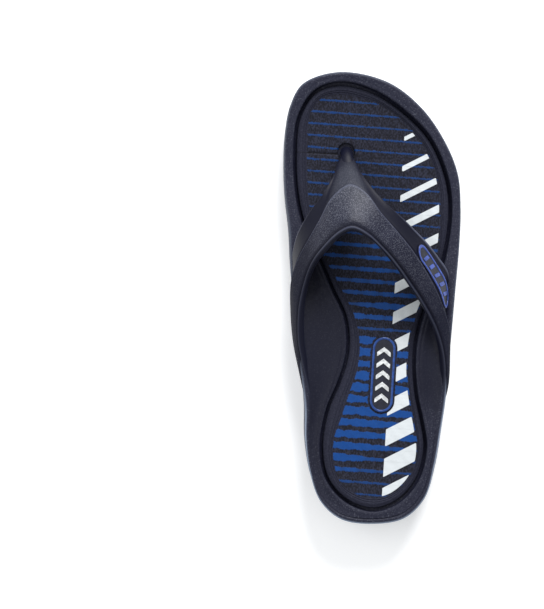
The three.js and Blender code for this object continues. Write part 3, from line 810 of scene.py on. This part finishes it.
def strap_upper(material):
    front, ridge, inner, front_normal, inner_normal = strap_lines()
    ridge_normal = unit(front_normal + inner_normal)
    front_width = np.linalg.norm(ridge - front, axis=1)[:, None]
    inner_width = np.linalg.norm(inner - ridge, axis=1)[:, None]
    towards = unit(inner - ridge)

    def at(across, height):
        """Points across the strap: 0 the front edge, 1 the ridge, 2 the inner edge."""
        if across < 1:
            point = front + (ridge - front) * across
            lean = smoothstep((across - 0.8) / 0.2)
            normal = unit(front_normal + (ridge_normal - front_normal) * lean)
        else:
            point = ridge + (inner - ridge) * (across - 1)
            lean = smoothstep((1.25 - across) / 0.25)
            normal = unit(inner_normal + (ridge_normal - inner_normal) * lean)
        return point + normal * height

    def near_lip(distance, height):
        return inner - towards * distance + inner_normal * height

    def near_front(distance, height):
        return front + unit(ridge - front) * distance + front_normal * height

    # Each row runs along the whole strap, with how much of each tone and of each painted highlight it
    # takes.
    rows, panels, crest_highlights, neck_highlights, edge_highlights = [], [], [], [], []

    def put(points, panel, crest_highlight=0, neck_highlight=0, edge=0):
        rows.append(points)
        panels.append(panel)
        crest_highlights.append(crest_highlight)
        neck_highlights.append(neck_highlight)
        edge_highlights.append(edge)

    for turn in np.radians([90, 60, 30, 0]):
        distance = FRONT_ROUNDING * (1 - math.sin(turn))
        put(near_front(distance, FRONT_ROUNDING * (math.cos(turn) - 1)), 0, edge=1)
    for share in (0.14, 0.22, 0.35, 0.5, 0.65, 0.8, 0.88):
        put(at(share, -0.35 * math.sin(math.pi * share)), 0, neck_highlight=smoothstep((share - 0.1) / 0.5))
    for share, height, panel in ((0.92, -0.45, 0), (0.955, -0.2, 0.1), (0.975, 0.35, 0.6), (0.99, 0.8, 1)):
        put(at(share, height), panel, panel, neck_highlight=1)
    put(at(1, 0.95), 1, 1, neck_highlight=1)
    for share in (0.025, 0.07, 0.13, 0.22, 0.34, 0.46, 0.58, 0.7, 0.8, 0.88):
        crown = 0.25 * bell(share - 0.02, 0.04) + 0.45 * math.sin(math.pi * share)
        reach = share * (1 - (LIP_WIDTH + 0.9) / inner_width)
        lean = smoothstep((0.25 - share) / 0.25)
        normal = unit(inner_normal + (ridge_normal - inner_normal) * lean)
        point = ridge + (inner - ridge) * reach + normal * (PANEL_RISE + crown * (1 - share))
        fade = 1 - 0.5 * smoothstep((share - 0.7) / 0.3)
        put(point, fade, bell(share, 0.04), neck_highlight=1 - share)
    for distance, height in LIP_SECTION:
        put(near_lip(distance, height), 0.15, bell(distance - 0.9, 0.5))
    for share in (0.85, 0.6, 0.35, 0.12):
        put(at(1 + share, -STRAP_DEPTH), 0)
    for share in (0.97, 0.8, 0.55, 0.3):
        put(at(share, -STRAP_DEPTH * (0.85 + 0.15 * share)), 0)
    for distance, height in ((1.6, -3.3), (0.7, -3.0), (0.15, -2.5)):
        put(near_front(distance, height), 0, edge=1)

    skin = Skin()
    sections = [np.array([row[k] for row in rows]) for k in range(len(front))]
    numbers = skin.rows([section[::-1] for section in sections])
    skin.faces += [numbers[0].tolist()[::-1], numbers[-1].tolist()]
    skin.slots += [0, 0]
    from_crown = np.linalg.norm(ridge - ridge[ARM_SECTIONS], axis=1)
    is_medial = np.arange(len(ridge)) < ARM_SECTIONS
    reach = np.where(is_medial, *GRAIN_REACH)
    grain = 0.25 + 0.75 * (1 - smoothstep((from_crown - 0.4 * reach) / reach))
    neck_highlight = 1 - smoothstep((from_crown - 4) / 18)
    # Painted reflection: the arms' front edges are painted lighter away from the crown.
    arm_edge_reflection = 1.4 * smoothstep((from_crown - 38) / 25)
    fields = {
        "panel": np.outer(grain, panels[::-1]),
        "crest_highlight": np.outer(0.3 + 0.7 * grain, crest_highlights[::-1]) + np.outer(arm_edge_reflection, edge_highlights[::-1]),
        "neck_highlight": np.outer(neck_highlight, neck_highlights[::-1]),
    }
    post = toe_post_rings(front, ridge, front_normal)
    skin.rows(post)
    piece = skin.object("strap_upper", material)
    on_post = len(skin.points) - len(rows) * len(sections)
    for name, post_value in (("panel", 0), ("crest_highlight", 0), ("neck_highlight", 0)):
        write_field(piece, name, np.append(fields[name].ravel(), np.full(on_post, post_value)))
    return piece


def toe_post_rings(front, ridge, front_normal):
    """The toe post, from its foot up through the insole, flattening back into the crown."""
    crown = ARM_SECTIONS
    surface = front[crown] + 0.34 * (ridge[crown] - front[crown])
    into = surface - (POST_TOP_RADIUS + 0.6) * front_normal[crown]
    low = np.array([*POST, rim_top(POST[1]) - 3])
    bend = np.array([*POST, rim_top(POST[1]) + 5])
    steps = np.linspace(0, 1, POST_STEPS)
    path = [np.array([*POST, POST_BOTTOM])]
    path += [(1 - t) ** 2 * low + 2 * t * (1 - t) * bend + t**2 * into for t in steps]
    radii = [POST_RADIUS, *(POST_RADIUS + (POST_TOP_RADIUS - POST_RADIUS) * smoothstep(steps))]
    side = np.array([1.0, 0, 0])
    turn = np.linspace(0, 2 * math.pi, 40, endpoint=False)
    rings = []
    for k, (centre, depth) in enumerate(zip(path, radii)):
        ahead = np.cross(unit(path[min(k + 1, len(path) - 1)] - path[max(k - 1, 0)]), side)
        across = POST_RADIUS * np.outer(np.cos(turn), side)
        rings.append(centre + across + depth * np.outer(np.sin(turn), ahead))
    return rings


# ---- the outsole's tread ----
TREAD_RINGS = 920
TREAD_COLUMNS = 200
VALLEY = 1.3
RIB_TOP = 0.5
RIB_PITCH = 2.7
STUD_COLUMN_PITCH = 11.45
STUD_FIRST_ROW = 128.4
PLATES = (
    {"x": (-6, 29.5), "y": (-31, -12.6)},
    {"x": (-31, -17), "y": (-38, -5)},
)


def rib_phase(x, y):
    """A number whose level lines are the ribs: arcs over the toe that turn back under the heel."""
    toe_centre = -76 + 40 * smoothstep((y - 30) / 90)
    toe = np.hypot(x - toe_centre, np.maximum(y - 5, 0))
    heel_centre = 71 - 64 * smoothstep((-5 - y) / 85)
    heel = np.hypot(x - heel_centre, 0.62 * np.minimum(y + 5, 0))
    share = smoothstep((y + 18) / 36)
    return share * toe + (1 - share) * (147 - heel)


def studs(outline):
    """Centres and radii of the studs, in straight rows and columns inside the outline."""
    found = []
    y = STUD_FIRST_ROW
    while y > -134:
        columns = STUD_COLUMN_PITCH * np.arange(-4, 5) + 0.2
        margins = distance_inside(np.column_stack([columns, np.full(len(columns), y)]), outline)
        inner_margin = 6 if y > 14 else (13.5 if y > -108 else 6.5)
        for x, margin in zip(columns, margins):
            blank = any(p["x"][0] < x < p["x"][1] and p["y"][0] < y < p["y"][1] for p in PLATES)
            if margin > (inner_margin if x < 0 else 4.2) and not blank:
                wide = bell(y - 48, 26) + bell(y + 92, 24)
                found.append((x, y, 2.6 + 0.5 * wide))
        y -= 8.7 + 1.6 * bell(y - 47, 20) + 1.4 * bell(y + 94, 22)
    return found


def tread_relief(x, y, inside, stud_list):
    """Height of the underside above the ground, and how much each point stands out."""
    phase = rib_phase(x, y) / RIB_PITCH
    groove = np.abs(phase - np.round(phase)) * RIB_PITCH
    raised = 1 - bell(groove, 0.62)
    for plate in PLATES:
        (x0, x1), (y0, y1) = plate["x"], plate["y"]
        depth = np.minimum(np.minimum(x - x0, x1 - x), np.minimum(y - y0, y1 - y))
        raised = raised * (1 - smoothstep(depth / 0.8)) + 0.55 * smoothstep((depth - 0.6) / 0.8)
    border = smoothstep((inside - 1.2) / 0.8)
    raised = raised * border + 0.9 * (1 - smoothstep((inside - 0.6) / 0.8))
    height = VALLEY - (VALLEY - RIB_TOP) * raised
    for stud_x, stud_y, radius in stud_list:
        near = np.hypot(x - stud_x, y - stud_y)
        moat = smoothstep((radius + 1 - near) / 0.45)
        top = smoothstep((radius + 0.3 - near) / 0.5)
        dish = 0.25 * smoothstep((radius - 0.7 - near) / 0.4)
        height = height + moat * (VALLEY - height)
        height = height + top * (dish - height)
        raised = raised * (1 - moat) + top * (1 - 1.6 * dish)
    return height, raised


def sole_tread(material):
    outline = spaced(TREAD_OUTLINE, TREAD_RINGS, closed=True)
    rings = [lift(outline, outsole_top(outline[:, 1]))]
    rings.append(lift(outline, ground_height(outline[:, 1]) + 1.6))
    for turn in np.radians([30, 60, 90]):
        ring = inset(outline, 1 - math.cos(turn))
        rings.append(lift(ring, ground_height(outline[:, 1]) + RIB_TOP + 1 - math.sin(turn)))
    skin = Skin()
    numbers = skin.rows(rings[::-1])
    skin.fill(numbers[-1], 8)
    skin.fill(numbers[0], TREAD_COLUMNS, up=False)
    x, y = skin.points[:, 0], skin.points[:, 1]
    # The last grid added is the ground face, after the rings and the top face's grid.
    under = np.arange(len(x)) >= len(x) - (TREAD_RINGS // 2 - 1) * (TREAD_COLUMNS - 1)
    inside = distance_inside(skin.points[under, :2], outline)
    height, raised = tread_relief(x[under], y[under], inside, studs(outline))
    skin.points[under, 2] = height + ground_height(y[under])
    piece = skin.object("sole_tread", material)
    shown = np.zeros(len(x))
    shown[under] = raised
    write_field(piece, "raised", shown)
    return piece


# ---- badges: a base plate with a raised border and plain slanted bars ----
STRAP_BADGE = {"length": 41, "width": 10.6, "rise": 0.8, "along": 0.51, "across": 0.6}
BADGE_SINK = 0.7
BADGE_STEPS = 160


def racetrack(length, width):
    """A round-ended outline about the origin, in even steps anticlockwise from its far tip."""
    radius = width / 2
    straight = length / 2 - radius
    turn = np.linspace(0, 2 * math.pi, 4 * BADGE_STEPS + 2)
    x = np.copysign(straight, np.cos(turn)) + radius * np.cos(turn)
    y = radius * np.sin(turn)
    travelled = np.concatenate([[0], np.cumsum(np.hypot(np.diff(x), np.diff(y)))])
    at = np.linspace(0, travelled[-1], BADGE_STEPS, endpoint=False)
    return np.column_stack([np.interp(at, travelled, x), np.interp(at, travelled, y)])


def slanted_bar(length, width, slant, centre, count=40):
    """A bar with rounded corners, sheared along the badge."""
    turn = np.linspace(0, 2 * math.pi, count, endpoint=False)
    x = width / 2 * np.sign(np.cos(turn)) * np.abs(np.cos(turn)) ** 0.3
    y = length / 2 * np.sign(np.sin(turn)) * np.abs(np.sin(turn)) ** 0.3
    return np.column_stack([centre[0] + x + slant * y, centre[1] + y])


def badge_base(skin, badge, place):
    size = badge["length"], badge["width"]
    rise = badge["rise"]
    levels = [(0, -BADGE_SINK), (0, rise - 0.6), (0.25, rise - 0.4), (1.2, rise - 0.4)]
    rings = [place(*racetrack(size[0] - 2 * d, size[1] - 2 * d).T, h) for d, h in levels]
    numbers = skin.rows(rings)
    skin.fill(numbers[0], 6, up=False)
    skin.fill(numbers[-1], 10)


def badge_border(skin, badge, place, width, slot):
    """The raised bead that runs round a badge."""
    rings = []
    for turn in np.linspace(0, math.pi, 9):
        d = 0.15 + width / 2 * (1 - math.cos(turn))
        h = badge["rise"] - 0.5 + 0.5 * math.sin(turn) ** 0.7
        rings.append(place(*racetrack(badge["length"] - 2 * d, badge["width"] - 2 * d).T, h))
    numbers = skin.rows(rings, slot=slot)
    skin.bridge(numbers[-1], numbers[0], slot=slot)


def badge_bar(skin, outline, place, height, slot):
    middle = outline.mean(axis=0)
    rings = []
    for share, level in ((1, height - 0.5), (1, height - 0.12), (0.95, height - 0.02), (0.86, height)):
        rings.append(place(*(middle + (outline - middle) * share).T, level))
    numbers = skin.rows(rings, slot=slot)
    skin.fill(numbers[0], 4, up=False, slot=slot)
    skin.fill(numbers[-1], 4, slot=slot)


def on_insole(a, b, height):
    turn = math.radians(90 - INSOLE_BADGE["tilt"])
    x = INSOLE_BADGE["x"] + a * math.cos(turn) - b * math.sin(turn)
    y = INSOLE_BADGE["y"] + a * math.sin(turn) + b * math.cos(turn)
    return np.column_stack([x, y, insole_top(y) + height])


def insole_badge(base, border, bars):
    skin = Skin()
    badge_base(skin, INSOLE_BADGE, on_insole)
    badge_border(skin, INSOLE_BADGE, on_insole, 1.5, 1)
    for k in range(5):
        for side in (-1, 1):
            outline = slanted_bar(4.6, 2.9, -0.75 * side, (-14.6 + 7.2 * k, 1.95 * side))
            badge_bar(skin, outline, on_insole, INSOLE_BADGE["rise"] + 0.05, 2)
    return skin.object("insole_badge_plate", base, border, bars)


def strap_badge(base, border):
    front, ridge, _, front_normal, _ = strap_lines()
    length = np.linalg.norm(np.diff(ridge[ARM_SECTIONS:], axis=0), axis=1).sum()
    sections = np.arange(len(ridge)) - ARM_SECTIONS

    def on_strap(a, b, height):
        at = ARM_SECTIONS * (STRAP_BADGE["along"] + a / length)
        edge, line, normal = [
            np.column_stack([np.interp(at, sections, column) for column in rows.T])
            for rows in (front, ridge, front_normal)
        ]
        width = np.linalg.norm(line - edge, axis=1)
        across = STRAP_BADGE["across"] + b / width
        return edge + (line - edge) * across[:, None] + normal * height

    def outward(a, b, height):
        return on_strap(a, -b, height)

    skin = Skin()
    badge_base(skin, STRAP_BADGE, outward)
    badge_border(skin, STRAP_BADGE, outward, 1.5, 1)
    for k in range(5):
        outline = slanted_bar(5, 2.3, 0.5, (-12.4 + 6.2 * k, 0))
        badge_bar(skin, outline, outward, STRAP_BADGE["rise"] - 0.05, 1)
    return skin.object("strap_badge_plate", base, border)


# ---- the stage, lights and camera ----
def floor():
    s = Shader("pale_floor", (0.9, 0.9, 0.9), 0.9, specular=0.1)
    s.color(s.mix(s.noise(400, 2), (0.89, 0.89, 0.895), (0.91, 0.91, 0.91)))
    s.surface.inputs["Emission Color"].default_value = (1, 1, 1, 1)
    s.surface.inputs["Emission Strength"].default_value = 0.28
    bpy.ops.mesh.primitive_plane_add(size=8)
    ground = bpy.context.object
    ground.name = "floor"
    ground.data.materials.append(s.material)


def area_light(name, place, target, size, power):
    data = bpy.data.lights.new(name, "AREA")
    data.shape = "DISK"
    data.size = size
    data.energy = power
    light = bpy.data.objects.new(name, data)
    light.location = place
    direction = light.location - Vector(target)
    light.rotation_euler = direction.to_track_quat("Z", "Y").to_euler()
    bpy.context.collection.objects.link(light)


def studio():
    scene = bpy.context.scene
    scene.view_settings.view_transform = "Standard"
    world = bpy.data.worlds.new("studio")
    scene.world = world
    world.use_nodes = True
    world.node_tree.nodes["Background"].inputs["Color"].default_value = (0.95, 0.98, 1, 1)
    world.node_tree.nodes["Background"].inputs["Strength"].default_value = 0.62
    area_light("key", (0.25, 1.15, 0.85), (0, 0.02, 0), 0.7, 26)
    area_light("fill", (-1.0, 0.2, 1.1), (0, 0, 0), 1.2, 6)


# The camera looks straight down, and the part stands to the right of the middle of the picture.
CAMERA_PLACE = (-0.0625, -0.004, 1.4)


def camera():
    data = bpy.data.cameras.new("camera")
    data.sensor_width = 36
    data.lens = 130.9
    data.clip_end = 50
    made = bpy.data.objects.new("camera", data)
    made.location = CAMERA_PLACE
    bpy.context.collection.objects.link(made)
    bpy.context.scene.camera = made


# ---- the model ----
camera()
floor()
studio()

tread = bend_with_sole(sole_tread(tread_material()))
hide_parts("outsole_heel", "outsole_toe")

footbed = bend_with_sole(footbed_body(foam_material()))
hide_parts("midsole_heel", "midsole_toe")

insole = bend_with_sole(insole_sheet(insole_material()))
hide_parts("insole_heel", "insole_toe")

strap = bend_with_sole(strap_upper(strap_material()))
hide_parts("strap")

ink_plate = badge_material("badge_base", (0.012, 0.014, 0.028), 0.4, 0)
blue_rubber = badge_material("badge_blue", (0.014, 0.06, 0.26), 0.35, 0.1)
violet_rubber = badge_material("badge_violet", (0.045, 0.085, 0.36), 0.35, 0.1)
white_rubber = badge_material("badge_white", (0.75, 0.77, 0.78), 0.4, 0.05)

sole_mark = insole_badge(ink_plate, blue_rubber, white_rubber)
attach(sole_mark, "heel_part")
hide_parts("insole_badge")

strap_mark = bend_with_sole(strap_badge(ink_plate, violet_rubber))
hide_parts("strap_badge")

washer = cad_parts["post_washer"]
washer.data.materials.clear()
washer.data.materials.append(washer_material())
